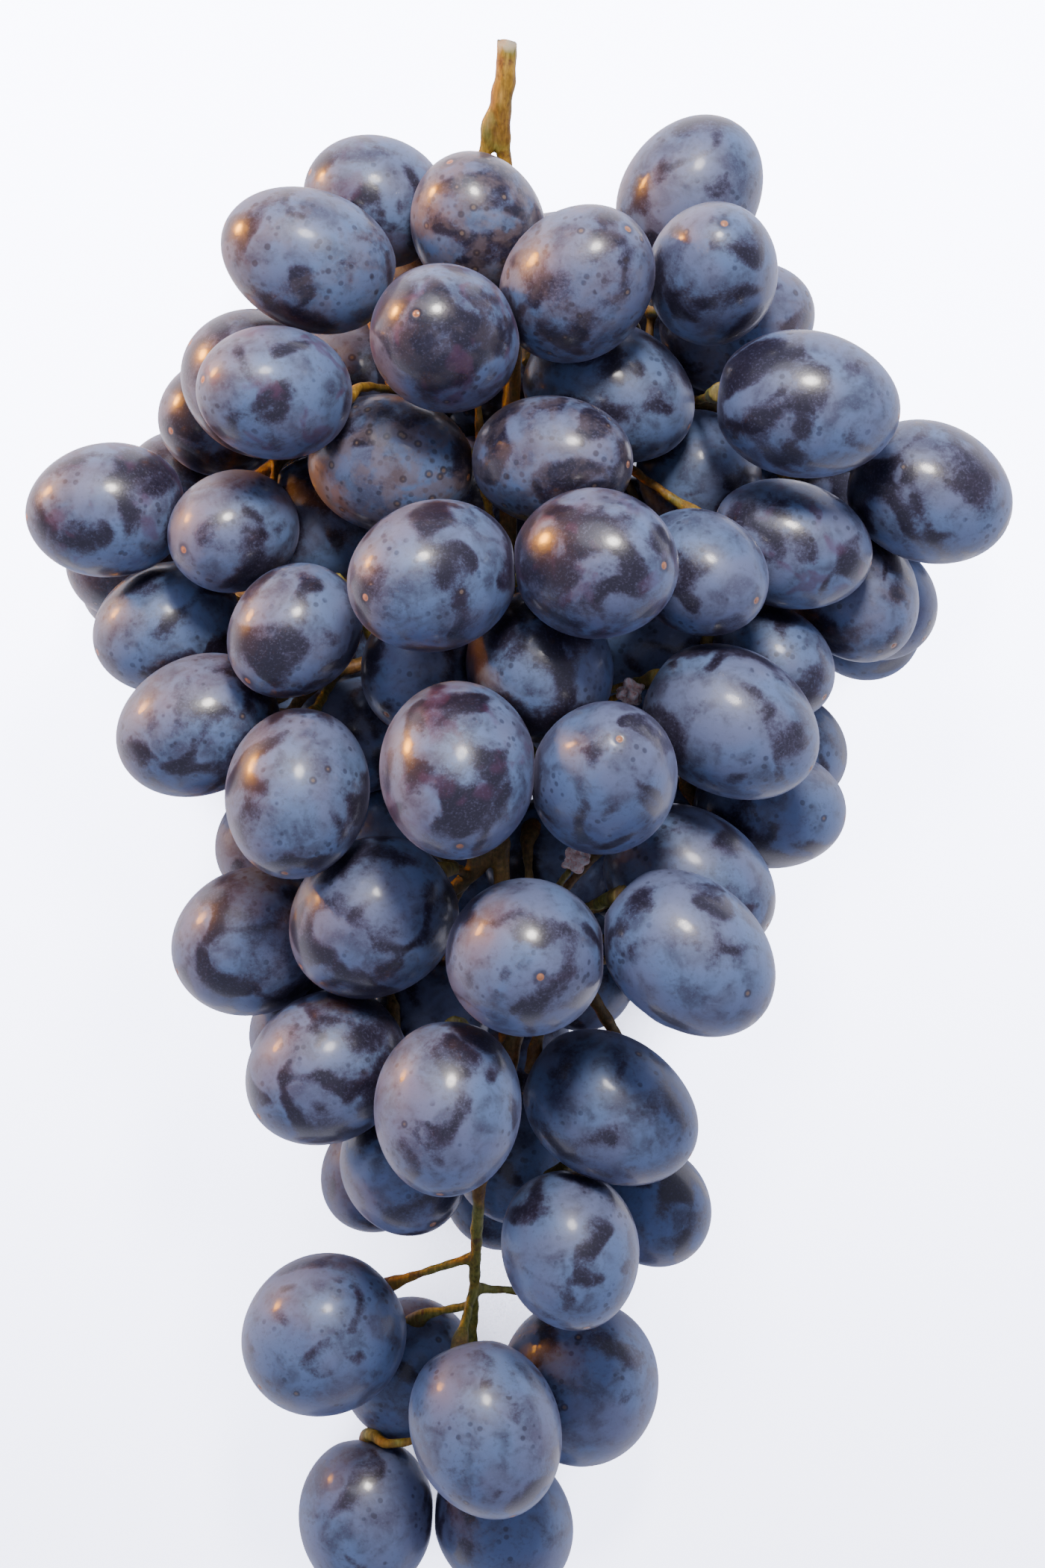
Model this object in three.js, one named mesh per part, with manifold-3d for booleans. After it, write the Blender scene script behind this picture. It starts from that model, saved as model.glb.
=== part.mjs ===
// A bunch of blue-black table grapes, lying on its side as picked.
// Millimetres, +Z up. X runs across the bunch and Y along it, towards the cut end of the stem.
import * as THREE from "three";
import { mergeVertices } from "three/addons/utils/BufferGeometryUtils.js";
import Module from "manifold-3d";

const wasm = await Module();
wasm.setup();

// Berry places are written as seen from an eye straight above, on the bunch's middle plane.
const EYE_HEIGHT = 804;
const MIDDLE_HEIGHT = 44;

// The middle of the bunch's box, which is moved onto the origin.
const BOX_MIDDLE = [0, -8.1];

// Each berry: seen place across and along, height of its middle, width, length,
// heading of its blossom tip counter-clockwise from +X, and how far that tip lifts (degrees).
const BERRIES = {
  crown: [
    [-21.5, 85.5, 49, 19, 21.5, 158, 20],
    [-31.3, 76.9, 62, 20, 26, 158, 12],
    [-6.5, 82, 54, 19, 22.5, 115, 35],
  ],
  crest: [
    [8, 73.5, 65, 20.5, 25.5, 45, 40],
    [24.5, 86.5, 40, 20, 25, 57, 12],
    [28, 75, 58, 18.5, 24, 78, 60],
    [31.5, 67, 44, 18.5, 23.5, 20, 5],
    [-11.5, 65.5, 75, 20.5, 25.5, 148, 70],
    [12.5, 57.5, 57, 20, 26, -25, 12],
    [29.5, 59.5, 28, 17.5, 19.5, 10, 20],
    [-4.5, 57.5, 22, 19, 20, -100, -60],
    [20, 67.5, 22, 18.5, 19.5, 30, -55],
  ],
  left_wing: [
    [-36.5, 57.5, 68, 19, 23, 172, 32],
    [-38.8, 58.9, 52, 21, 23, 150, 15],
    [-44, 54, 34, 18, 20.5, -160, 40],
    [-60.9, 40.2, 48, 19.5, 23.5, -174, 15],
    [-42.5, 37, 62, 17.5, 20.5, -156, 45],
    [-58, 32.8, 28, 17.5, 18, -170, 0],
    [-50, 43.5, 30, 17.5, 18, 170, 10],
    [-29.5, 38.5, 44, 18.5, 20.5, -110, 40],
    [-19, 47, 60, 20, 25, -12, 25],
    [-6.5, 41.5, 24, 19, 20, -100, -60],
  ],
  right_wing: [
    [41.6, 55.7, 69, 21, 26.5, -8, 10],
    [59.8, 42.8, 51, 20.5, 24.5, -22, 5],
    [39, 35, 58, 18.5, 24, -14, 8],
    [26, 45.5, 50, 18, 19.5, -60, 30],
    [26, 31, 66, 17.5, 21.5, -28, 35],
    [48, 28.5, 46, 19, 24, -55, 30],
    [52, 26.8, 28, 17.5, 19.5, -40, 20],
    [50.5, 23.8, 11, 18, 18.5, -50, 0],
  ],
  heart: [
    [4.5, 47.5, 65, 18.5, 24, -5, 28],
    [-13.5, 30.5, 79, 21, 26, -160, 42],
    [11, 32.5, 77, 21, 24.5, -4, 42],
    [2.5, 17, 62, 20.5, 23, -60, 35],
    [-14, 17, 49, 19, 20.5, -130, 30],
    [-9.5, 2, 76, 22, 26.5, -88, 38],
    [12, 1, 69, 20.5, 26.5, 70, 65],
  ],
  left_side: [
    [-33.5, 23, 63, 18, 21, -132, 25],
    [-52, 23, 46, 19, 22.5, -160, 20],
    [-47.5, 8.5, 52, 20, 24.5, -158, 8],
    [-33, -2, 63, 20.5, 25, -98, 25],
    [-24, 7.5, 46, 18, 20, 0, 30],
    [-36, -8.5, 28, 18, 19, -145, 0],
    [-21.5, -6, 38, 17.5, 18.5, -110, 20],
  ],
  right_side: [
    [30.5, 9, 66, 21, 26.5, -30, 12],
    [37, 18, 48, 16, 19.5, -35, 25],
    [38.5, 5, 30, 17.5, 19, -20, 0],
    [36, -3.5, 46, 18, 23, -8, 10],
  ],
  left_low: [
    [-22, -19.5, 62, 22.5, 25.5, -146, 12],
    [-40, -23, 48, 21.5, 23.5, -158, 15],
    [-28.6, -41.9, 55, 21.5, 25, -145, 20],
    [-31, -36.5, 26, 18, 18.5, -145, 0],
    [-14, -34.5, 42, 18.5, 20.5, -110, 30],
  ],
  right_low: [
    [24.5, -14, 48, 20.5, 26.5, -30, 15],
    [24.5, -25, 62, 21, 27, -40, 8],
    [0.5, -25.5, 71, 22.5, 23, -50, 75],
    [8, -27.5, 20, 17.5, 18.5, -60, 0],
    [13, -47.5, 50, 21, 27, -30, 10],
    [19, -62, 22, 17.5, 19, -50, 10],
    [7, -68.5, 42, 20, 24, -78, 20],
    [4, -11, 25, 19, 20, -60, -55],
  ],
  waist: [
    [-11, -47.5, 60, 21, 25.5, -95, 20],
    [-17.5, -56.5, 42, 18, 20.5, -60, 30],
    [-20.8, -56.8, 18, 17.5, 19.5, -130, 0],
    [-1, -55, 30, 19, 20, -70, 20],
    [-3, -59.5, 9, 18, 18.5, -80, 0],
  ],
  tail: [
    [8.5, -87.7, 17, 24, 25.5, -82, 10],
    [-29.2, -80.9, 23, 23.8, 25, -142, 20],
    [-16.5, -86, 10, 21, 23.5, -98, -40],
    [-5.4, -94.7, 31, 22.5, 27, -72, 15],
    [-23.2, -107.5, 10, 20.8, 24.5, -92, 5],
    [-2.5, -108.5, 10, 21, 23.5, -62, 0],
  ],
};

// Dried buds that never swelled: seen place across and along, height, and the spray they hang in.
const DRIED_BUDS = [
  [16.2, 13.5, 62, "heart"],
  [7.8, -11.2, 58, "right_low"],
];
const BUD = { side: 1.7, end: 2.6 };

// The main stem from its cut end, down the middle of the bunch, to the tail.
const MAIN_STEM = [
  [-2.1, 107.9, 54], [-3, 101, 52.5], [-4, 95.4, 51], [-1.8, 88.8, 48], [-1.4, 69, 46], [-2, 46, 46],
  [-2.2, 23, 45], [-2.9, 0, 43], [-3.1, -12.7, 42], [-2, -28.8, 42], [-1.4, -38, 42],
  [-3.7, -50.6, 40], [-6.4, -59.8, 35],
];

// Side branches, each from the main stem into the middle of its spray.
const BRANCHES = {
  crown: [[-4, 95.2, 51], [-6.8, 90.6, 51.5], [-12, 76, 52], [-20, 60, 54]],
  crest: [[-1.4, 76, 46.5], [8, 70, 47], [19, 69, 46]],
  left_wing: [[-1.5, 64, 46], [-20, 54, 45], [-36, 47, 46], [-49, 38, 44]],
  right_wing: [[-1.8, 54, 46], [20, 53, 41], [38, 46, 40], [46, 36, 38]],
  heart: [[-2.1, 34, 45.5], [-1, 28, 58], [0, 16, 66]],
  left_side: [[-2.1, 24, 45], [-20, 16, 48], [-36, 8, 46]],
  right_side: [[-2.3, 16, 44.5], [20, 12, 48], [32, 5, 46]],
  left_low: [[-3, -9, 42.3], [-16, -24, 42], [-28, -31, 42]],
  right_low: [[-2.8, -17, 42], [10, -20, 44], [18, -34, 42], [17, -48, 40]],
  waist: [[-1.4, -38, 42], [-6, -44, 46], [-12, -52, 40], [-11, -57, 28]],
  tail: [
    [-6.4, -60, 35],
    [-8.4, -67.4, 31],
    [-7.4, -73, 28],
    [-8.2, -78, 24],
    [-10, -84, 18],
    [-13, -90, 12],
  ],
};

// Radii of the main stem, its branches and the stalks of the berries, and the gap round them.
const MAIN_RADIUS = 1.7;
const BRANCH_RADIUS = 1.2;
const STALK_RADIUS = 0.9;
const STALK_GAP = 0.4;

// How stalks find their way: rounds of tightening, how far they look, what a blocked mm costs, and
// what a mm further out along the branch costs, which makes them leave it at a slant.
const THREAD_ROUNDS = 100;
const ROUTE_REACH = 36;
const BLOCKAGE_COST = 5;
const BRANCH_COST = 0.5;

// How berries lie against each other: pressed within a spray, clear of the next spray's.
const PRESS = 0.9;
const SPRAY_GAP = 0.9;
const STEM_ROOM = 3.2;
const FLOOR_PRESS = 0.8;
const SIDEWAYS = 0.06;
const CLING_REACH = 3;
const FIRST_ROUNDS = 300;
const LAST_ROUNDS = 600;

// Berries inside the bunch and on its underside stand on a grid of layers, where it is free.
const INNER = {
  width: 19,
  length: 21.5,
  layers: [9, 19, 29, 39, 49],
  from: [-66, -104],
  to: [66, 92],
  step: 4,
  fromStem: 14.5,
  fromBerry: 17.9,
  below: 6,
  rim: 9.3,
  rimSpots: 12,
};

const BERRY_COLOUR = 0x4a5272;
const STEM_COLOUR = 0x9a8450;

const { degToRad, radToDeg } = THREE.MathUtils;
const distance = (one, two) => Math.hypot(two[0] - one[0], two[1] - one[1], two[2] - one[2]);
const between = (from, to, share) => from.map((value, axis) => value + (to[axis] - value) * share);

// A line of sight draws in towards the middle as it climbs from the middle plane.
function sightScale(height) {
  return (EYE_HEIGHT - height) / (EYE_HEIGHT - MIDDLE_HEIGHT);
}

function makeBerry(spray, [across, along, height, width, length, heading, lift]) {
  const flat = Math.cos(degToRad(lift));
  return {
    spray,
    seen: [across, along],
    height,
    side: width / 2,
    end: length / 2,
    axis: [
      Math.cos(degToRad(heading)) * flat,
      Math.sin(degToRad(heading)) * flat,
      Math.sin(degToRad(lift)),
    ],
    at: [0, 0, 0],
    inner: false,
  };
}

// How far a berry reaches from its middle towards a direction.
function reach(berry, x, y, z) {
  const [ax, ay, az] = berry.axis;
  const share = (ax * x + ay * y + az * z) ** 2;
  return Math.sqrt(share * berry.end ** 2 + (1 - share) * berry.side ** 2);
}

function divide(points, step) {
  const fine = [];
  for (let i = 0; i + 1 < points.length; i += 1) {
    const parts = Math.max(1, Math.floor(distance(points[i], points[i + 1]) / step));
    for (let k = 0; k < parts; k += 1) fine.push(between(points[i], points[i + 1], k / parts));
  }
  fine.push(points[points.length - 1]);
  return fine;
}

function nearest(points, place) {
  let best = Infinity;
  let found = points[0];
  for (const point of points) {
    const span = distance(point, place);
    if (span < best) {
      best = span;
      found = point;
    }
  }
  return { point: found, span: best };
}

const stemPoints = divide(MAIN_STEM, 2);

// Two berries push apart where they press too hard, and cling where a spray leaves a small gap.
function pairPush(one, two) {
  const span = distance(one.at, two.at);
  if (span > 40) return null;
  const [x, y, z] = two.at.map((value, axis) => (value - one.at[axis]) / span);
  const same = one.spray === two.spray;
  const over = reach(one, x, y, z) + reach(two, x, y, z) + (same ? -PRESS : SPRAY_GAP) - span;
  let share = 0;
  if (over > 0) share = 0.5;
  else if (same && over > -CLING_REACH) share = 0.06;
  if (share === 0) return null;
  const ease = SIDEWAYS * (x * x + y * y) + z * z;
  const push = Math.min((over * share) / (2 * ease), 1);
  return [x * SIDEWAYS * push, y * SIDEWAYS * push, z * push];
}

function stemPush(berry) {
  const { point, span } = nearest(stemPoints, berry.at);
  const [x, y, z] = berry.at.map((value, axis) => (value - point[axis]) / span);
  const over = reach(berry, x, y, z) + STEM_ROOM - span;
  if (over <= 0) return [0, 0, 0];
  const ease = SIDEWAYS * (x * x + y * y) + z * z;
  const push = Math.min((over * 0.5) / ease, 1.5);
  return [x * SIDEWAYS * push, y * SIDEWAYS * push, z * push];
}

// The bunch settles: berries move, mostly up and down, until they only press lightly.
function settle(berries, rounds) {
  for (const berry of berries) {
    const scale = sightScale(berry.height);
    berry.at = [berry.seen[0] * scale, berry.seen[1] * scale, berry.height];
  }
  for (let round = 0; round < rounds; round += 1) {
    const moves = berries.map(() => [0, 0, 0]);
    for (let i = 0; i < berries.length; i += 1) {
      for (let j = i + 1; j < berries.length; j += 1) {
        const push = pairPush(berries[i], berries[j]);
        if (push === null) continue;
        for (let axis = 0; axis < 3; axis += 1) {
          moves[i][axis] -= push[axis];
          moves[j][axis] += push[axis];
        }
      }
    }
    berries.forEach((berry, index) => {
      const push = stemPush(berry);
      for (let axis = 0; axis < 3; axis += 1) moves[index][axis] += push[axis];
    });
    berries.forEach((berry, index) => {
      for (let axis = 0; axis < 3; axis += 1) berry.at[axis] += moves[index][axis];
      berry.at[2] = Math.max(berry.at[2], reach(berry, 0, 0, 1) - FLOOR_PRESS);
      const scale = sightScale(berry.at[2]);
      berry.at[0] += 0.12 * (berry.seen[0] * scale - berry.at[0]);
      berry.at[1] += 0.12 * (berry.seen[1] * scale - berry.at[1]);
      berry.at[2] += 0.012 * (berry.height - berry.at[2]);
    });
  }
}

// Does this berry hide a point of the middle plane from the eye?
function hides(berry, seenX, seenY) {
  const scale = sightScale(berry.at[2]);
  const x = seenX * scale - berry.at[0];
  const y = seenY * scale - berry.at[1];
  const round = berry.side ** 2;
  const extra = berry.end ** 2 - round;
  const xx = round + extra * berry.axis[0] ** 2;
  const xy = extra * berry.axis[0] * berry.axis[1];
  const yy = round + extra * berry.axis[1] ** 2;
  return yy * x * x - 2 * xy * x * y + xx * y * y < xx * yy - xy * xy;
}

// An inner berry may not show past the berries above it.
function isCovered(place, berries) {
  const above = berries.filter((berry) => berry.at[2] >= place[2] + INNER.below);
  const scale = sightScale(place[2]);
  for (let spot = 0; spot < INNER.rimSpots; spot += 1) {
    const angle = (2 * Math.PI * spot) / INNER.rimSpots;
    const seenX = (place[0] + INNER.rim * Math.cos(angle)) / scale;
    const seenY = (place[1] + INNER.rim * Math.sin(angle)) / scale;
    if (!above.some((berry) => hides(berry, seenX, seenY))) return false;
  }
  return true;
}

function innerPlaces(berries) {
  const taken = berries.map((berry) => berry.at);
  const found = [];
  for (const height of INNER.layers) {
    for (let along = INNER.from[1]; along <= INNER.to[1]; along += INNER.step) {
      for (let across = INNER.from[0]; across <= INNER.to[0]; across += INNER.step) {
        const place = [across, along, height];
        if (nearest(stemPoints, place).span < INNER.fromStem) continue;
        if (nearest(taken, place).span < INNER.fromBerry) continue;
        if (!isCovered(place, berries)) continue;
        found.push(place);
        taken.push(place);
      }
    }
  }
  return found;
}

// An inner berry points away from the main stem and hangs from the branch nearest to it.
function innerBerry(place) {
  const { point, span } = nearest(stemPoints, place);
  const away = place.map((value, axis) => (value - point[axis]) / span);
  const heading = radToDeg(Math.atan2(away[1] - 0.3, away[0]));
  const lift = Math.max(-80, radToDeg(Math.asin(away[2])));
  let best = Infinity;
  let spray = "";
  for (const [name, points] of Object.entries(BRANCHES)) {
    const gap = nearest(divide(points, 2), place).span;
    if (gap < best) {
      best = gap;
      spray = name;
    }
  }
  const scale = sightScale(place[2]);
  const row = [place[0] / scale, place[1] / scale, place[2], INNER.width, INNER.length, heading, lift];
  return { ...makeBerry(spray, row), inner: true };
}

// The way out of a berry grown by some room, or null for a place that is already outside.
function wayOut(berry, place, room) {
  const offset = place.map((value, axis) => value - berry.at[axis]);
  const along = offset.reduce((sum, value, axis) => sum + value * berry.axis[axis], 0);
  const across = offset.map((value, axis) => value - along * berry.axis[axis]);
  const end = berry.end + room;
  const side = berry.side + room;
  const level = Math.hypot(along / end, ...across.map((value) => value / side));
  if (level >= 1) return null;
  const slope = across.map((value, axis) => value / side ** 2 + (along * berry.axis[axis]) / end ** 2);
  const size = Math.hypot(...slope) || 1;
  return slope.map((value) => (value / size) * (1 - level) * side);
}

function pushedClear(place, berries, room) {
  let clear = place;
  for (const berry of berries) {
    const push = wayOut(berry, clear, room);
    if (push) clear = clear.map((value, axis) => value + 0.9 * push[axis]);
  }
  return clear;
}

// A stalk is drawn taut like a string, and slips round the berries in its way.
function thread(points, berries, room) {
  const string = points.map((point) => [...point]);
  for (let round = 0; round < THREAD_ROUNDS; round += 1) {
    for (let k = 1; k + 1 < string.length; k += 1) {
      string[k] = between(string[k], between(string[k - 1], string[k + 1], 0.5), 0.4);
    }
    for (let k = 1; k + 1 < string.length; k += 1) {
      string[k] = pushedClear(string[k], berries, room);
      string[k][2] = Math.max(string[k][2], 2);
    }
  }
  return string;
}

function solid(geometry) {
  const bare = geometry.clone();
  bare.deleteAttribute("normal");
  bare.deleteAttribute("uv");
  const merged = mergeVertices(bare, 1e-4);
  return new wasm.Manifold(
    new wasm.Mesh({
      numProp: 3,
      vertProperties: Float32Array.from(merged.attributes.position.array),
      triVerts: Uint32Array.from(merged.index.array),
    }),
  );
}

function joined(solids) {
  return solids.reduce((whole, part) => whole.add(part));
}

function placed(geometry, axis, at) {
  const up = new THREE.Vector3(0, 1, 0);
  geometry.applyQuaternion(new THREE.Quaternion().setFromUnitVectors(up, new THREE.Vector3(...axis)));
  geometry.translate(...at);
  return solid(geometry);
}

// A grape is a little fuller towards its stem end. Its flat facets are drawn out to its true girth.
function berrySolid(berry, room) {
  const sides = berry.inner ? 6 : 9;
  const bands = berry.inner ? 4 : 5;
  const girth = (berry.side + room) / Math.cos(Math.PI / sides / 2);
  const profile = [];
  for (let band = 0; band <= bands; band += 1) {
    const angle = (Math.PI * band) / bands;
    const isPole = band === 0 || band === bands;
    const across = isPole ? 0 : girth * Math.sin(angle) * (1 + 0.05 * Math.cos(angle));
    profile.push(new THREE.Vector2(across, -(berry.end + room) * Math.cos(angle)));
  }
  return placed(new THREE.LatheGeometry(profile, sides), berry.axis, berry.at);
}

function stalkSolid(points, radius, sides, steps) {
  const section = new THREE.Shape();
  section.moveTo(radius, 0);
  for (let k = 1; k < sides; k += 1) {
    const angle = (2 * Math.PI * k) / sides;
    section.lineTo(radius * Math.cos(angle), radius * Math.sin(angle));
  }
  const path = new THREE.CatmullRomCurve3(points.map((point) => new THREE.Vector3(...point)));
  return solid(new THREE.ExtrudeGeometry(section, { steps, bevelEnabled: false, extrudePath: path }));
}

function budSolid(at) {
  const geometry = new THREE.SphereGeometry(BUD.side, 5, 4);
  geometry.scale(1, 1, BUD.end / BUD.side);
  geometry.translate(...at);
  return solid(geometry);
}

const berries = Object.entries(BERRIES).flatMap(([spray, rows]) => rows.map((row) => makeBerry(spray, row)));
settle(berries, FIRST_ROUNDS);
berries.push(...innerPlaces(berries).map(innerBerry));
settle(berries, LAST_ROUNDS);

// How far a stalk's line runs through berries that it has to pass by.
function blockage(string, berries, room) {
  let sum = 0;
  for (const place of divide(string, 1)) {
    for (const berry of berries) {
      const push = wayOut(berry, place, room);
      if (push) sum += Math.hypot(...push);
    }
  }
  return sum;
}

// A stalk leaves its branch, clear of the main stem, where its way to the berry is short and free.
function stalkRoute(spray, branch, end, behind) {
  const room = STALK_RADIUS + STALK_GAP;
  const near = berries.filter((berry) => distance(berry.at, behind) < ROUTE_REACH);
  const passed = near.filter((berry) => berry.spray !== spray);
  let best = Infinity;
  let route = null;
  for (const start of branch.slice(2)) {
    const points = [0, 1, 2, 3, 4, 5].map((k) => between(start, behind, k / 6));
    const string = thread([...points, behind, end], near, room);
    const way = distance(start, end) + BRANCH_COST * distance(start, branch[0]);
    const cost = way + BLOCKAGE_COST * blockage(string, passed, room);
    if (cost < best) {
      best = cost;
      route = string;
    }
  }
  return route;
}

function sprayRoutes(spray) {
  const branch = thread(divide(BRANCHES[spray], 3), berries, BRANCH_RADIUS + STALK_GAP);
  const stalks = [];
  for (const berry of berries.filter((other) => other.spray === spray)) {
    const [behind, end] = [berry.end + 2.5, berry.end - 0.6].map((back) =>
      berry.at.map((value, axis) => value - berry.axis[axis] * back),
    );
    stalks.push({ inner: berry.inner, line: stalkRoute(spray, branch, end, behind) });
  }
  const buds = [];
  for (const [across, along, height] of DRIED_BUDS.filter((row) => row[3] === spray)) {
    const scale = sightScale(height);
    const bud = pushedClear([across * scale, along * scale, height], berries, BUD.side + STALK_GAP);
    stalks.push({ inner: true, line: stalkRoute(spray, branch, bud, bud) });
    buds.push(bud);
  }
  return { branch, stalks, buds };
}

function stalksSolid(routes, room) {
  const { branch, stalks, buds } = routes;
  const parts = [stalkSolid(branch, BRANCH_RADIUS + room, 5, 6)];
  for (const { inner, line } of stalks) {
    parts.push(stalkSolid(line, STALK_RADIUS + room, 3, inner ? 2 : 3));
  }
  for (const bud of buds) parts.push(budSolid(bud));
  return joined(parts);
}

// What a cut leaves loose is a scrap of a stalk, so only the largest body is kept.
function largest(body) {
  return body.decompose().reduce((best, part) => (part.volume() > best.volume() ? part : best));
}

function floorSolid() {
  const slab = new THREE.BoxGeometry(400, 400, 40);
  slab.translate(0, 0, -20);
  return solid(slab);
}

function makeMesh(name, body, colour) {
  const mesh = body.getMesh();
  const indexed = new THREE.BufferGeometry();
  indexed.setAttribute("position", new THREE.BufferAttribute(mesh.vertProperties, 3));
  indexed.setIndex(new THREE.BufferAttribute(mesh.triVerts, 1));
  const geometry = indexed.toNonIndexed();
  geometry.computeVertexNormals();
  const material = new THREE.MeshStandardMaterial({ color: colour, roughness: 0.6, metalness: 0 });
  const result = new THREE.Mesh(geometry, material);
  result.name = name;
  return result;
}

// Berries of the sprays already made that crowd one of this spray's berries.
function crowding(own, made) {
  return made.filter((other) =>
    own.some((berry) => {
      const span = distance(berry.at, other.at);
      const [x, y, z] = other.at.map((value, axis) => (value - berry.at[axis]) / span);
      return reach(berry, x, y, z) + reach(other, x, y, z) + STALK_GAP > span;
    }),
  );
}

// Each spray is its berries, fused with the branch and stalks that they grew from.
function makeSprays(stemRoom) {
  const floor = floorSolid();
  const laid = [];
  const made = [];
  const meshes = [];
  for (const spray of Object.keys(BERRIES)) {
    const routes = sprayRoutes(spray);
    const own = berries.filter((berry) => berry.spray === spray);
    const others = berries.filter((berry) => berry.spray !== spray);
    let stalks = stalksSolid(routes, 0).subtract(stemRoom);
    for (const room of laid) stalks = stalks.subtract(room);
    stalks = stalks.subtract(joined(others.map((berry) => berrySolid(berry, STALK_GAP))));
    laid.push(stalksSolid(routes, STALK_GAP));
    let body = joined([stalks, ...own.map((berry) => berrySolid(berry, 0))]).subtract(floor);
    for (const berry of crowding(own, made)) body = body.subtract(berrySolid(berry, STALK_GAP));
    made.push(...own);
    meshes.push(makeMesh(`spray_${spray}`, largest(body), BERRY_COLOUR));
  }
  return meshes;
}

const bunch = new THREE.Group();
bunch.position.set(-BOX_MIDDLE[0], -BOX_MIDDLE[1], 0);
bunch.add(makeMesh("main_stem", stalkSolid(MAIN_STEM, MAIN_RADIUS, 7, 22), STEM_COLOUR));
bunch.add(...makeSprays(stalkSolid(MAIN_STEM, MAIN_RADIUS + STALK_GAP, 7, 22)));

export default bunch;
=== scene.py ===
import math

import bpy
import numpy as np
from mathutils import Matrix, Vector
from mathutils.kdtree import KDTree


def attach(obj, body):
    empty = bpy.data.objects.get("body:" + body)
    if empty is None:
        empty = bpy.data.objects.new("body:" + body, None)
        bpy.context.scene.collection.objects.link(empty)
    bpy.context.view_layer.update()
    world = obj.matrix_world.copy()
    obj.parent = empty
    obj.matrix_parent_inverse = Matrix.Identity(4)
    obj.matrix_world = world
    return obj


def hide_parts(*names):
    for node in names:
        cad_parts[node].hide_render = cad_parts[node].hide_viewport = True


# A bunch of blue-black table grapes lying on a pale table, seen from straight above.
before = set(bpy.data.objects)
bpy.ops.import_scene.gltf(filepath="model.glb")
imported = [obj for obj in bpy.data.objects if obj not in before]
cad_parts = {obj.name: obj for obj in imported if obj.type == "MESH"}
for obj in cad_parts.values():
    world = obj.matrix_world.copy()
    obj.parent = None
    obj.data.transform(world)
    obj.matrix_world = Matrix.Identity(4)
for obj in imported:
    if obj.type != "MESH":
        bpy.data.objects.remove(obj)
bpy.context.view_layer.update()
bpy.ops.object.select_all(action="DESELECT")

MM = 0.001

# The eye that the berry places are written for, and the middle of the bunch's box (mm).
EYE_HEIGHT = 804
MIDDLE_HEIGHT = 44
BOX_MIDDLE = (0, -8.1)
VIEW_HEIGHT_AT_MIDDLE = 230.1
SENSOR = 36

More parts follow.
